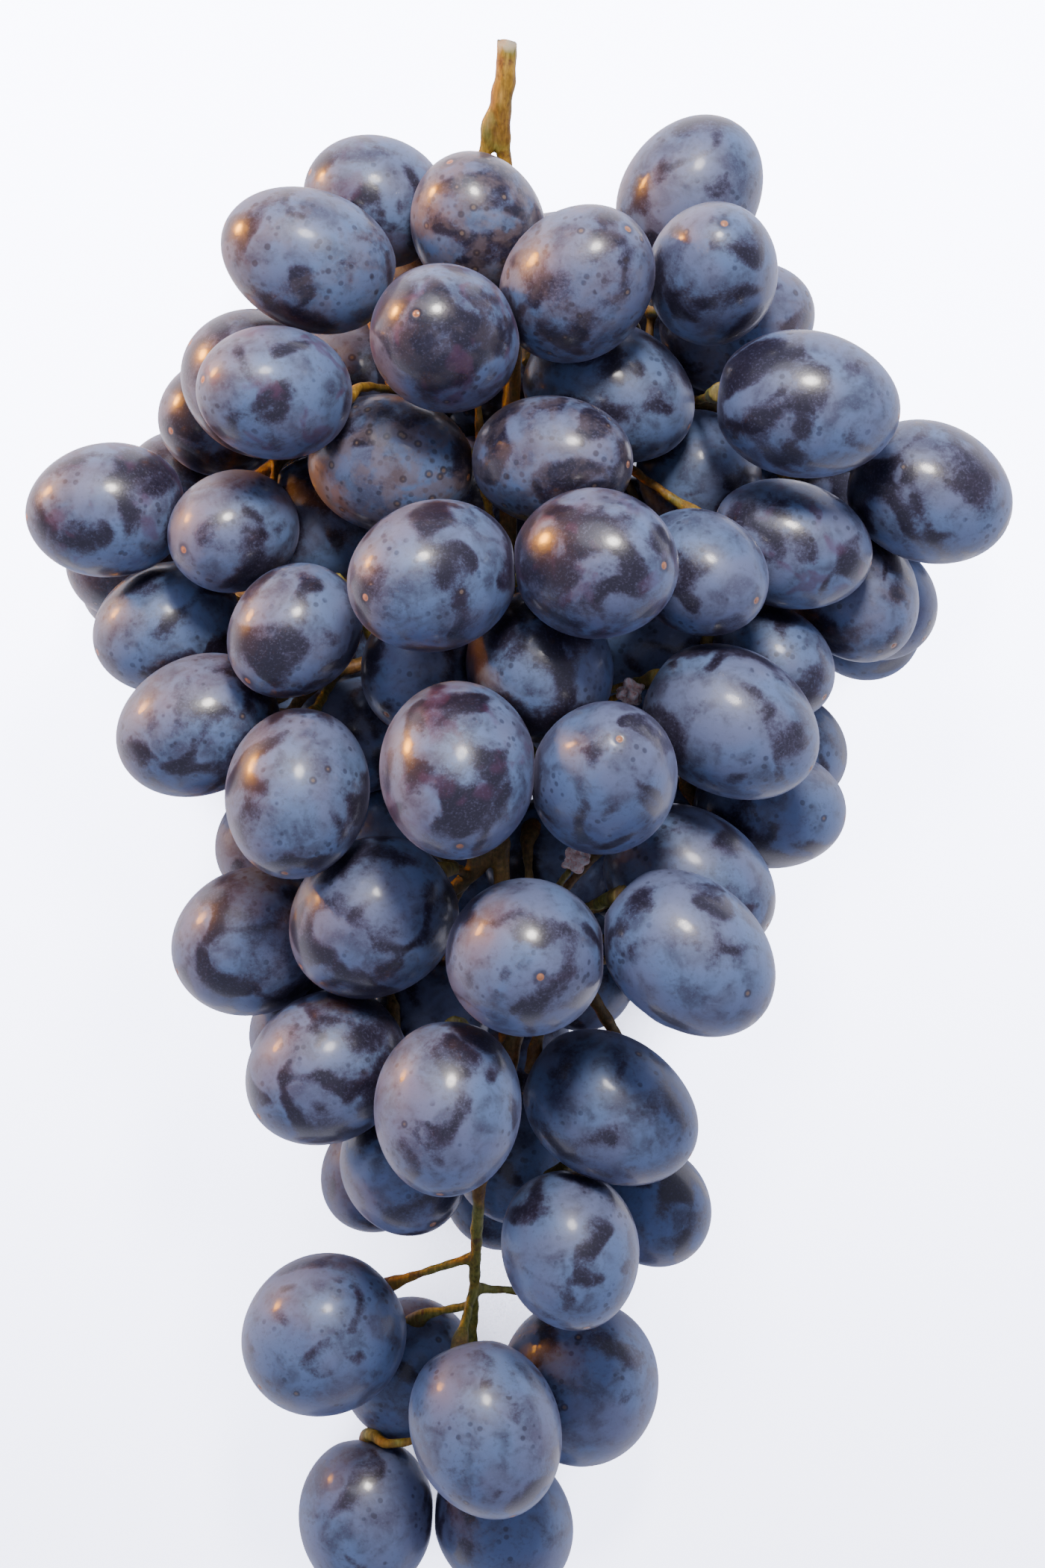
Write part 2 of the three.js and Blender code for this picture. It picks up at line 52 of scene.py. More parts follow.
# Each berry: seen place across and along, height of its middle, width, length,
# heading of its blossom tip counter-clockwise from +X, and how far that tip lifts (degrees).
BERRIES = {
    "crown": [
        (-21.5, 85.5, 49, 19, 21.5, 158, 20),
        (-31.3, 76.9, 62, 20, 26, 158, 12),
        (-6.5, 82, 54, 19, 22.5, 115, 35),
    ],
    "crest": [
        (8, 73.5, 65, 20.5, 25.5, 45, 40),
        (24.5, 86.5, 40, 20, 25, 57, 12),
        (28, 75, 58, 18.5, 24, 78, 60),
        (31.5, 67, 44, 18.5, 23.5, 20, 5),
        (-11.5, 65.5, 75, 20.5, 25.5, 148, 70),
        (12.5, 57.5, 57, 20, 26, -25, 12),
        (29.5, 59.5, 28, 17.5, 19.5, 10, 20),
        (-4.5, 57.5, 22, 19, 20, -100, -60),
        (20, 67.5, 22, 18.5, 19.5, 30, -55),
    ],
    "left_wing": [
        (-36.5, 57.5, 68, 19, 23, 172, 32),
        (-38.8, 58.9, 52, 21, 23, 150, 15),
        (-44, 54, 34, 18, 20.5, -160, 40),
        (-60.9, 40.2, 48, 19.5, 23.5, -174, 15),
        (-42.5, 37, 62, 17.5, 20.5, -156, 45),
        (-58, 32.8, 28, 17.5, 18, -170, 0),
        (-50, 43.5, 30, 17.5, 18, 170, 10),
        (-29.5, 38.5, 44, 18.5, 20.5, -110, 40),
        (-19, 47, 60, 20, 25, -12, 25),
        (-6.5, 41.5, 24, 19, 20, -100, -60),
    ],
    "right_wing": [
        (41.6, 55.7, 69, 21, 26.5, -8, 10),
        (59.8, 42.8, 51, 20.5, 24.5, -22, 5),
        (39, 35, 58, 18.5, 24, -14, 8),
        (26, 45.5, 50, 18, 19.5, -60, 30),
        (26, 31, 66, 17.5, 21.5, -28, 35),
        (48, 28.5, 46, 19, 24, -55, 30),
        (52, 26.8, 28, 17.5, 19.5, -40, 20),
        (50.5, 23.8, 11, 18, 18.5, -50, 0),
    ],
    "heart": [
        (4.5, 47.5, 65, 18.5, 24, -5, 28),
        (-13.5, 30.5, 79, 21, 26, -160, 42),
        (11, 32.5, 77, 21, 24.5, -4, 42),
        (2.5, 17, 62, 20.5, 23, -60, 35),
        (-14, 17, 49, 19, 20.5, -130, 30),
        (-9.5, 2, 76, 22, 26.5, -88, 38),
        (12, 1, 69, 20.5, 26.5, 70, 65),
    ],
    "left_side": [
        (-33.5, 23, 63, 18, 21, -132, 25),
        (-52, 23, 46, 19, 22.5, -160, 20),
        (-47.5, 8.5, 52, 20, 24.5, -158, 8),
        (-33, -2, 63, 20.5, 25, -98, 25),
        (-24, 7.5, 46, 18, 20, 0, 30),
        (-36, -8.5, 28, 18, 19, -145, 0),
        (-21.5, -6, 38, 17.5, 18.5, -110, 20),
    ],
    "right_side": [
        (30.5, 9, 66, 21, 26.5, -30, 12),
        (37, 18, 48, 16, 19.5, -35, 25),
        (38.5, 5, 30, 17.5, 19, -20, 0),
        (36, -3.5, 46, 18, 23, -8, 10),
    ],
    "left_low": [
        (-22, -19.5, 62, 22.5, 25.5, -146, 12),
        (-40, -23, 48, 21.5, 23.5, -158, 15),
        (-28.6, -41.9, 55, 21.5, 25, -145, 20),
        (-31, -36.5, 26, 18, 18.5, -145, 0),
        (-14, -34.5, 42, 18.5, 20.5, -110, 30),
    ],
    "right_low": [
        (24.5, -14, 48, 20.5, 26.5, -30, 15),
        (24.5, -25, 62, 21, 27, -40, 8),
        (0.5, -25.5, 71, 22.5, 23, -50, 75),
        (8, -27.5, 20, 17.5, 18.5, -60, 0),
        (13, -47.5, 50, 21, 27, -30, 10),
        (19, -62, 22, 17.5, 19, -50, 10),
        (7, -68.5, 42, 20, 24, -78, 20),
        (4, -11, 25, 19, 20, -60, -55),
    ],
    "waist": [
        (-11, -47.5, 60, 21, 25.5, -95, 20),
        (-17.5, -56.5, 42, 18, 20.5, -60, 30),
        (-20.8, -56.8, 18, 17.5, 19.5, -130, 0),
        (-1, -55, 30, 19, 20, -70, 20),
        (-3, -59.5, 9, 18, 18.5, -80, 0),
    ],
    "tail": [
        (8.5, -87.7, 17, 24, 25.5, -82, 10),
        (-29.2, -80.9, 23, 23.8, 25, -142, 20),
        (-16.5, -86, 10, 21, 23.5, -98, -40),
        (-5.4, -94.7, 31, 22.5, 27, -72, 15),
        (-23.2, -107.5, 10, 20.8, 24.5, -92, 5),
        (-2.5, -108.5, 10, 21, 23.5, -62, 0),
    ],
}

# Dried buds that never swelled: seen place across and along, height, and the spray they hang in.
DRIED_BUDS = (
    (16.2, 13.5, 62, "heart"),
    (7.8, -11.2, 58, "right_low"),
)
BUD_SIDE = 1.7

# Berries whose wax is thin and wine-coloured, and berries with corky specks, by spray and number.
PURPLE_BERRIES = {
    ("crest", 4): 1.0, ("left_wing", 0): 0.95, ("left_wing", 3): 0.8, ("right_wing", 2): 0.85,
    ("crown", 0): 0.6, ("heart", 2): 0.6, ("heart", 5): 0.65,
}
RUSSET_BERRIES = {
    ("crown", 2): 0.7, ("crown", 1): 0.3, ("crest", 0): 0.3, ("crest", 3): 0.4, ("crest", 4): 0.2,
    ("left_wing", 8): 0.8, ("heart", 0): 0.4, ("right_wing", 5): 0.3, ("left_wing", 5): 0.3,
}

# The main stem from its cut end, down the middle of the bunch, to the tail.
MAIN_STEM = (
    (-2.1, 107.9, 54), (-3, 101, 52.5), (-4, 95.4, 51), (-1.8, 88.8, 48), (-1.4, 69, 46), (-2, 46, 46),
    (-2.2, 23, 45), (-2.9, 0, 43), (-3.1, -12.7, 42), (-2, -28.8, 42), (-1.4, -38, 42),
    (-3.7, -50.6, 40), (-6.4, -59.8, 35),
)

# Side branches, each from the main stem into the middle of its spray.
BRANCHES = {
    "crown": ((-4, 95.2, 51), (-6.8, 90.6, 51.5), (-12, 76, 52), (-20, 60, 54)),
    "crest": ((-1.4, 76, 46.5), (8, 70, 47), (19, 69, 46)),
    "left_wing": ((-1.5, 64, 46), (-20, 54, 45), (-36, 47, 46), (-49, 38, 44)),
    "right_wing": ((-1.8, 54, 46), (20, 53, 41), (38, 46, 40), (46, 36, 38)),
    "heart": ((-2.1, 34, 45.5), (-1, 28, 58), (0, 16, 66)),
    "left_side": ((-2.1, 24, 45), (-20, 16, 48), (-36, 8, 46)),
    "right_side": ((-2.3, 16, 44.5), (20, 12, 48), (32, 5, 46)),
    "left_low": ((-3, -9, 42.3), (-16, -24, 42), (-28, -31, 42)),
    "right_low": ((-2.8, -17, 42), (10, -20, 44), (18, -34, 42), (17, -48, 40)),
    "waist": ((-1.4, -38, 42), (-6, -44, 46), (-12, -52, 40), (-11, -57, 28)),
    "tail": (
        (-6.4, -60, 35), (-8.4, -67.4, 31), (-7.4, -73, 28),
        (-8.2, -78, 24), (-10, -84, 18), (-13, -90, 12),
    ),
}

# The peduncle, which takes the place of the main stem's first points. It forks low down: its right leg
# becomes the main stem, its left one the crown's branch. The shears cut its end at a slant.
PEDUNCLE = (
    (-2.2, 107.9, 54), (-2.5, 102.5, 53), (-3.1, 98.8, 52),
    (-2.95, 95.8, 51.2), (-2.85, 92.9, 50), (-2.45, 90, 48.8),
)
PEDUNCLE_INSTEAD_OF = 4
FORK = 3
LEFT_LEG = ((-3.6, 99.5, 52), (-4.6, 96.9, 51.6), (-5.3, 94.6, 51.4))
CUT_PLACE = (-2.1, 107.3, 54)
CUT_SLANT = (0.15, 0.85, 0.5)

# The radius at each point of the peduncle and of the rest of the main stem, then of a branch at its
# foot, of the two thin ones that carry on from the stem's forks, and of every branch at its end (mm).
PEDUNCLE_RADII = (1.5, 1.6, 1.7, 1.3, 1.15, 1.15)
MAIN_RADII = (1.3, 1.3, 1.3, 1.3, 1.3, 1.25, 1.2, 1.1, 1.0)
BRANCH_FOOT = 1.35
THIN_BRANCH_FOOT = 1.0
THIN_BRANCHES = ("crown", "tail")
BRANCH_END = 0.8

# The radius of a stalk at its thick foot, along its thin middle, and where it flares into the collar
# that the berry sits on, which reaches down into the berry's dimple. A bud's stalk has no collar (mm).
STALK_FOOT = (1.0, 0.75)
STALK_MIDDLE = 0.68
STALK_COLLAR = (0.78, 1.1, 1.65)
COLLAR_REACH = 1.2
BUD_STALK = (0.8, 0.5)

# The skin over the whole stem: its cells (mm), and the share of its faces that is kept, which comes
# to under 200,000 triangles. Its bark rises and sinks along three waves, each a direction and a start.
STEM_CELL = 0.36
STEM_FACES_KEPT = 0.47
BARK_RELIEF = 0.055
BARK_WAVES = (((1.9, 0.7, 0.4), 0.3), ((-0.6, 1.3, 1.7), 1.7), ((0.5, -1.8, 1.1), 4.1))

# Brown marks on the stem at the fork, where a branch leaves, and at a berry: size (mm) and depth.
FORK_MARK = (6.0, 0.5)
BRANCH_MARK = (4.0, 0.6)
COLLAR_MARK = (2.8, 1.0)
MARK_FALLOFF = 0.7

# The stem inside the bunch is greener, from one place along it down, and its deep part is darkened with
# painted brown shade, down to a place above the tail and up to a height. Pith shows at the cut, and a
# hair under it. Each is a place or a depth, and how far it takes to fade in (mm).
INSIDE_DOWN_FROM = (85, 12)
DEEP_SHADE_DOWN_TO = (-50, 15)
DEEP_SHADE_UP_TO = (60, 12)
DEEP_SHADE_BROWN = 0.75
PITH_UNDER_CUT = (0.12, 0.1)

# Room that routes keep round a branch and round a stalk, and the gap that they leave to berries (mm).
BRANCH_RADIUS = 1.2
STALK_RADIUS = 0.9
STALK_GAP = 0.4

# Steps along the main stem, along a branch that stalks leave from, and along a stalk under test (mm).
STEM_STEP = 2
BRANCH_STEP = 3
TEST_STEP = 1

# How stalks find their way: rounds of tightening, how much a stalk gives way in each round to its own
# pull and to a berry, how low it may hang, in how many parts it starts out, how far it looks, what a
# blocked mm costs, and what a mm further out along the branch costs, which makes it leave at a slant.
TAUT_ROUNDS = 100
TIGHTENING = 0.4
GIVING_WAY = 0.9
LOWEST_STALK = 2
STALK_PARTS = 6
ROUTE_REACH = 36
BLOCKAGE_COST = 5
BRANCH_COST = 0.5

# A stalk comes at its berry straight from behind, and ends a little inside it (mm).
STRAIGHT_PART = 2.5
INTO_BERRY = 0.6

# How berries lie against each other: pressed within a spray, clear of the next spray's.
PRESS = 0.9
SPRAY_GAP = 0.9
STEM_ROOM = 3.2
FLOOR_PRESS = 0.8
CLING_REACH = 3

# How they get there, round by round: the ease of a sideways move where one up or down has 1, the share
# of an overlap that is pushed away and of a gap that is closed, the longest moves off a berry and off
# the main stem (mm), and the shares of the way back to where a berry is seen and to its own height.
SIDEWAYS = 0.06
PUSH = 0.5
CLING = 0.06
LONGEST_MOVE = 1
LONGEST_MOVE_OFF_STEM = 1.5
BACK_INTO_SIGHT = 0.12
BACK_TO_HEIGHT = 0.012
FIRST_ROUNDS = 300
LAST_ROUNDS = 600

# Berries inside the bunch and on its underside stand on a grid of layers, where it is free. They droop
# a little towards the tail, and none points straight down.
INNER_WIDTH = 19
INNER_LENGTH = 21.5
INNER_LAYERS = (9, 19, 29, 39, 49)
INNER_FROM = (-66, -104)
INNER_TO = (66, 92)
INNER_STEP = 4
INNER_FROM_STEM = 14.5
INNER_FROM_BERRY = 17.9
INNER_BELOW = 6
INNER_RIM = 9.3
INNER_SPOTS = 12
INNER_DROOP = 0.3
INNER_STEEPEST = 80

# One grape in units of its own size: the insets of its scarred tip, each a width and a height, how deep
# and how wide the dimple round its stalk is, how it tapers, and three slow swells of its skin.
SKIN_SEGMENTS = 32
SKIN_RINGS = 20
SCAR_INSETS = ((0.095, 0), (0.02, -0.010), (0.014, 0.008))
DIMPLE_DEPTH = 0.05
DIMPLE_WIDTH = 0.36
TAPER = -0.06
SWELL = 0.016
SWELL_WAVES = (2.2, 3.4, 5.1)

# Ripe berries swell a little past the size that they settled with, and flatten with a soft edge where
# they press: how far neighbours are looked for, how near they rub each other, how wide a smudge of
# rubbed wax and painted shade that leaves, the gap between two pressed skins, and the soft edge there
# and on the table (mm).
FULLER = 1.012
NEIGHBOUR_REACH = 32
RUB_AND_SHADE_REACH = 2.5
RUB_AND_SHADE_WIDTH = 1.9
RUB_AND_SHADE_FALLOFF = 1.5
CONTACT_GAP = 0.02
SOFT_EDGE = 0.45
SOFT_EDGE_ON_TABLE = 0.5
TIP_REACH = 6

# How much a berry's wax was rubbed off by hand: at least, more by chance, and more towards the top of
# the bunch, from one place along it to another (mm). All other berries' tint and specks are slight.
HANDLED_LEAST = 0.25
HANDLED_BY_CHANCE = 0.5
HANDLED_BY_PLACE = 0.25
HANDLED_FROM = -40
HANDLED_TO = 70
SLIGHT_TINT = 0.2
SLIGHT_RUSSET = 0.03
FIRST_SEED = 1000

# A dried bud is a crumpled ball, longer than wide: how deep and how close its folds are.
BUD_FOLD = 0.16
BUD_FOLD_WAVES = 5
BUD_FOLD_WAYS = ((1.0, 0.4, 0.2), (-0.3, 1.1, 0.6), (0.5, -0.6, 1.2))
BUD_SHAPE = (1, 1, 1.3)

# The table: its width (m), how bright it is to the camera alone at two places along the bunch, by the
# tail and by the stem (m), and its faint glow on everything.
TABLE_WIDTH = 6
TABLE_TAIL = (-0.15, 3.8)
TABLE_STEM = (0.15, 11.0)
TABLE_GLOW = 0.6

# Lights: name, place and aim (m), width (m), spread (degrees), power (W) and colour.
LIGHTS = (
    ("key", (0.05, 0.40, 0.58), (0, 0.01, 0.05), 0.15, 180, 5.6, "#fff8f2"),
    ("soft_box", (-0.25, 0.75, 0.75), (0, 0, 0.04), 0.8, 180, 4.6, "#e8edff"),
    ("warm_side", (-0.55, 0.32, 0.06), (-0.02, 0.06, 0.05), 0.13, 30, 0.24, "#ffa41c"),
)
ROOM_COLOUR = "#d6daff"
ROOM_LIGHT = 0.55


def sight_scale(height):
    """A line of sight draws in towards the middle as it climbs from the middle plane."""
    return (EYE_HEIGHT - height) / (EYE_HEIGHT - MIDDLE_HEIGHT)


class Bunch:
    """All berries, one row each: half sizes and places in mm, and the axis from stem end to tip."""

    def __init__(self):
        self.spray = []
        self.inner = []
        self.index = []
        self.seen = np.zeros((0, 2))
        self.height = np.zeros(0)
        self.side = np.zeros(0)
        self.end = np.zeros(0)
        self.axis = np.zeros((0, 3))
        self.at = np.zeros((0, 3))

    def add(self, spray, row, inner):
        across, along, height, width, length, heading, lift = row
        flat = math.cos(math.radians(lift))
        turn = math.radians(heading)
        axis = (math.cos(turn) * flat, math.sin(turn) * flat, math.sin(math.radians(lift)))
        self.index.append(self.spray.count(spray))
        self.spray.append(spray)
        self.inner.append(inner)
        self.seen = np.vstack([self.seen, (across, along)])
        self.height = np.append(self.height, height)
        self.side = np.append(self.side, width / 2)
        self.end = np.append(self.end, length / 2)
        self.axis = np.vstack([self.axis, axis])

    def reach(self, rows, way):
        """How far berries reach from their middle in a direction, near enough for a round shape."""
        share = np.sum(self.axis[rows] * way, axis=-1) ** 2
        return np.sqrt(share * self.end[rows] ** 2 + (1 - share) * self.side[rows] ** 2)


def divide(points, step):
    """The points of a line, with more between them, at most about one step apart."""
    fine = []
    for start, end in zip(points[:-1], points[1:]):
        start = np.array(start, float)
        end = np.array(end, float)
        parts = max(1, math.floor(np.linalg.norm(end - start) / step))
        fine += [start + (end - start) * k / parts for k in range(parts)]
    fine.append(np.array(points[-1], float))
    return np.array(fine)


STEM_POINTS = divide(MAIN_STEM, STEM_STEP)


def nearest(points, place):
    """The point nearest to a place, and how far off it is."""
    spans = np.linalg.norm(points - place, axis=1)
    best = int(np.argmin(spans))
    return points[best], spans[best]


def settle(bunch, rounds):
    """The bunch settles: berries move, mostly up and down, until they only press lightly."""
    count = len(bunch.spray)
    rest = np.maximum(0, bunch.reach(np.arange(count), (0, 0, 1)) - FLOOR_PRESS)
    sprays = np.array(bunch.spray)
    one, two = np.triu_indices(count, 1)
    same = sprays[one] == sprays[two]
    room = np.where(same, -PRESS, SPRAY_GAP)
    ease = np.array((SIDEWAYS, SIDEWAYS, 1.0))
    at = np.column_stack([bunch.seen * sight_scale(bunch.height)[:, None], bunch.height])
    every = np.arange(count)
    for _ in range(rounds):
        moves = np.zeros((count, 3))
        way = at[two] - at[one]
        span = np.linalg.norm(way, axis=1)
        way /= span[:, None]
        over = bunch.reach(one, way) + bunch.reach(two, way) + room - span
        share = np.where(over > 0, PUSH, np.where(same & (over > -CLING_REACH), CLING, 0))
        push = np.minimum(over * share / (2 * ((way * way) @ ease)), LONGEST_MOVE)
        step = way * ease * push[:, None]
        np.add.at(moves, one, -step)
        np.add.at(moves, two, step)
        gaps = np.linalg.norm(at[:, None, :] - STEM_POINTS[None], axis=2)
        near = gaps.argmin(axis=1)
        span = gaps[every, near]
        way = (at - STEM_POINTS[near]) / span[:, None]
        over = np.maximum(0, bunch.reach(every, way) + STEM_ROOM - span)
        push = np.minimum(over * PUSH / ((way * way) @ ease), LONGEST_MOVE_OFF_STEM)
        at += moves + way * ease * push[:, None]
        at[:, 2] = np.maximum(at[:, 2], rest)
        at[:, :2] += BACK_INTO_SIGHT * (bunch.seen * sight_scale(at[:, 2])[:, None] - at[:, :2])
        at[:, 2] += BACK_TO_HEIGHT * (bunch.height - at[:, 2])
    bunch.at = at


def is_covered(bunch, place):
    """An inner berry may not show past the berries above it."""
    above = bunch.at[:, 2] >= place[2] + INNER_BELOW
    if not above.any():
        return False
    at = bunch.at[above]
    axis = bunch.axis[above]
    round_part = bunch.side[above] ** 2
    extra = bunch.end[above] ** 2 - round_part
    xx = round_part + extra * axis[:, 0] ** 2
    xy = extra * axis[:, 0] * axis[:, 1]
    yy = round_part + extra * axis[:, 1] ** 2
    scale = sight_scale(at[:, 2])
    for spot in range(INNER_SPOTS):
        angle = 2 * math.pi * spot / INNER_SPOTS
        seen_x = (place[0] + INNER_RIM * math.cos(angle)) / sight_scale(place[2])
        seen_y = (place[1] + INNER_RIM * math.sin(angle)) / sight_scale(place[2])
        x = seen_x * scale - at[:, 0]
        y = seen_y * scale - at[:, 1]
        if not (yy * x * x - 2 * xy * x * y + xx * y * y < xx * yy - xy * xy).any():
            return False
    return True


def inner_places(bunch):
    """The places of the grid that are free and hidden, from the lowest layer up."""
    taken = [tuple(place) for place in bunch.at]
    found = []
    for height in INNER_LAYERS:
        for along in range(INNER_FROM[1], INNER_TO[1] + 1, INNER_STEP):
            for across in range(INNER_FROM[0], INNER_TO[0] + 1, INNER_STEP):
                place = np.array((across, along, height), float)
                if nearest(STEM_POINTS, place)[1] < INNER_FROM_STEM:
                    continue
                if nearest(np.array(taken), place)[1] < INNER_FROM_BERRY:
                    continue
                if is_covered(bunch, place):
                    found.append(place)
                    taken.append(tuple(place))
    return found


def add_inner_berries(bunch):
    """Inner berries point away from the main stem and hang from the branch nearest to them."""
    lines = {name: divide(points, STEM_STEP) for name, points in BRANCHES.items()}
    for place in inner_places(bunch):
        point, span = nearest(STEM_POINTS, place)
        away = (place - point) / span
        heading = math.degrees(math.atan2(away[1] - INNER_DROOP, away[0]))
        lift = max(-INNER_STEEPEST, math.degrees(math.asin(away[2])))
        spray = min(lines, key=lambda name: nearest(lines[name], place)[1])
        scale = sight_scale(place[2])
        row = (place[0] / scale, place[1] / scale, place[2], INNER_WIDTH, INNER_LENGTH, heading, lift)
        bunch.add(spray, row, True)


def grow_bunch():
    """All berries in place: those that are seen settle first, then the hidden ones with them."""
    bunch = Bunch()
    for spray, rows in BERRIES.items():
        for row in rows:
            bunch.add(spray, row, False)
    settle(bunch, FIRST_ROUNDS)
    add_inner_berries(bunch)
    settle(bunch, LAST_ROUNDS)
    return bunch


def way_out(bunch, row, places, room):
    """The way out of one berry grown by some room, nothing for places that are already outside."""
    axis = bunch.axis[row]
    end = bunch.end[row] + room
    side = bunch.side[row] + room
    offset = places - bunch.at[row]
    along = offset @ axis
    across = offset - along[..., None] * axis
    level = np.sqrt((along / end) ** 2 + np.sum(across ** 2, axis=-1) / side ** 2)
    slope = across / side ** 2 + along[..., None] * axis / end ** 2
    size = np.linalg.norm(slope, axis=-1) + 1e-12
    deep = np.maximum(0, 1 - level) * side
    return slope * (deep / size)[..., None]


def pull_taut(bunch, routes, rows, room):
    """Routes are pulled taut, and slip round the berries in their way."""
    last = routes.shape[1] - 1
    for _ in range(TAUT_ROUNDS):
        for k in range(1, last):
            middle = (routes[:, k - 1] + routes[:, k + 1]) / 2
            routes[:, k] += TIGHTENING * (middle - routes[:, k])
        inside = routes[:, 1:last]
        for row in rows:
            inside += GIVING_WAY * way_out(bunch, row, inside, room)
        inside[..., 2] = np.maximum(inside[..., 2], LOWEST_STALK)
    return routes


def blockage(bunch, route, rows, room):
    """How much of a stalk's way leads through berries."""
    places = divide(route, TEST_STEP)
    return sum(np.linalg.norm(way_out(bunch, row, places, room), axis=1).sum() for row in rows)


def stalk_route(bunch, spray, branch, end, behind):
    """A stalk leaves its branch where its way to the berry is short and free."""
    room = STALK_RADIUS + STALK_GAP
    near = np.flatnonzero(np.linalg.norm(bunch.at - behind, axis=1) < ROUTE_REACH)
    passed = [row for row in near if bunch.spray[row] != spray]
    starts = branch[2:]
    shares = np.arange(STALK_PARTS) / STALK_PARTS
    lines = starts[:, None, :] + (behind - starts)[:, None, :] * shares[None, :, None]
    ends = np.broadcast_to(np.array((behind, end)), (len(starts), 2, 3))
    routes = pull_taut(bunch, np.concatenate([lines, ends], axis=1), near, room)
    far_out = np.linalg.norm(starts - branch[0], axis=1)
    spans = np.linalg.norm(starts - end, axis=1) + BRANCH_COST * far_out
    blocked = np.array([blockage(bunch, route, passed, room) for route in routes])
    return routes[int(np.argmin(spans + BLOCKAGE_COST * blocked))]


def bud_place(bunch, across, along, height):
    """Where a dried bud hangs, pushed clear of the berries round it."""
    scale = sight_scale(height)
    place = np.array((across * scale, along * scale, height))
    for row in range(len(bunch.spray)):
        place = place + GIVING_WAY * way_out(bunch, row, place, BUD_SIDE + STALK_GAP)
    return place


def grow_stalks(bunch, spray):
    """The lines of a spray's branch, of its berries' stalks, and of its dried buds' stalks."""
    start = divide(BRANCHES[spray], BRANCH_STEP)[None]
    every = range(len(bunch.spray))
    branch = pull_taut(bunch, start, every, BRANCH_RADIUS + STALK_GAP)[0]
    stalks = []
    for row in every:
        if bunch.spray[row] != spray:
            continue
        behind = bunch.at[row] - bunch.axis[row] * (bunch.end[row] + STRAIGHT_PART)
        end = bunch.at[row] - bunch.axis[row] * (bunch.end[row] - INTO_BERRY)
        stalks.append(stalk_route(bunch, spray, branch, end, behind))
    buds = []
    for across, along, height, name in DRIED_BUDS:
        if name == spray:
            place = bud_place(bunch, across, along, height)
            buds.append((place, stalk_route(bunch, spray, branch, place, place)))
    return branch, stalks, buds


# Small helpers for objects, modifiers and colours.

def in_frame(places):
    """From the bunch's own millimetres to metres round the middle of its box."""
    return (np.asarray(places, float) - (BOX_MIDDLE[0], BOX_MIDDLE[1], 0)) * MM


def only(piece):
    """Selects this piece alone and makes it active."""
    bpy.ops.object.select_all(action="DESELECT")
    piece.select_set(True)
    bpy.context.view_layer.objects.active = piece


def apply_modifier(piece, kind, **settings):
    """Adds a modifier with its settings and applies it."""
    only(piece)
    bpy.ops.object.modifier_add(type=kind)
    modifier = piece.modifiers[-1]
    for name, value in settings.items():
        setattr(modifier, name, value)
    bpy.ops.object.modifier_apply(modifier=modifier.name)


def vertices_of(piece):
    """A piece's vertices as rows of three numbers."""
    places = np.empty(len(piece.data.vertices) * 3)
    piece.data.vertices.foreach_get("co", places)
    return places.reshape(-1, 3)


def set_vertices(piece, places):
    piece.data.vertices.foreach_set("co", np.asarray(places, float).ravel())
    piece.data.update()


def set_attribute(piece, name, values):
    """Gives each vertex a number that the piece's material reads."""
    attribute = piece.data.attributes.new(name, "FLOAT", "POINT")
    attribute.data.foreach_set("value", np.asarray(values, np.float32))


def linear(code):
    """An sRGB hex colour as linear values with full alpha."""
    parts = [int(code[k:k + 2], 16) / 255 for k in (1, 3, 5)]
    curve = [part / 12.92 if part <= 0.04045 else ((part + 0.055) / 1.055) ** 2.4 for part in parts]
    return (*curve, 1.0)


def per_mm(size):
    """The texture scale whose features are about this many millimetres across."""
    return 1 / (size * MM)


def add_node(tree, kind, settings, links, output=0):
    """Adds a shader node with its settings and links, and gives back one of its outputs."""
    node = tree.nodes.new("ShaderNode" + kind)
    for name, value in settings.items():
        if name == "stops":
            elements = node.color_ramp.elements
            while len(elements) < len(value):
                elements.new(0.5)
            for element, (place, code) in zip(elements, value):
                element.position = place
                element.color = linear(code)
        elif isinstance(name, int) or name in node.inputs:
            node.inputs[name].default_value = value
        else:
            setattr(node, name, value)
    for name, source in links.items():
        tree.links.new(source, node.inputs[name])
    return node.outputs[output]


def new_material(name):
    material = bpy.data.materials.new(name)
    material.use_nodes = True
    tree = material.node_tree
    shader = tree.nodes["Principled BSDF"]
    return material, tree, shader


# Settings that many nodes share. A colour mix has its share, its first and its second colour as
# inputs 0, 6 and 7, and the mixed colour as output 2.
ADD = {"operation": "ADD"}
TIMES = {"operation": "MULTIPLY"}
LARGER = {"operation": "MAXIMUM"}
MIX = {"data_type": "RGBA"}
MIXED = 2


def weigh(share):
    """A node's settings for one input times a share, plus another input."""
    return {"operation": "MULTIPLY_ADD", 1: share}


def cloudy(size, detail, roughness, distortion=0.0):
    """A noise texture's settings, its clouds about this many millimetres across."""
    return {"Scale": per_mm(size), "Detail": detail, "Roughness": roughness, "Distortion": distortion}


def spread(low, high, to_low=0.0, to_high=1.0):
    """The settings that map a value smoothly from one range to another."""
    ends = {"From Min": low, "From Max": high, "To Min": to_low, "To Max": to_high}
    return {"interpolation_type": "SMOOTHSTEP", **ends}


# Materials.

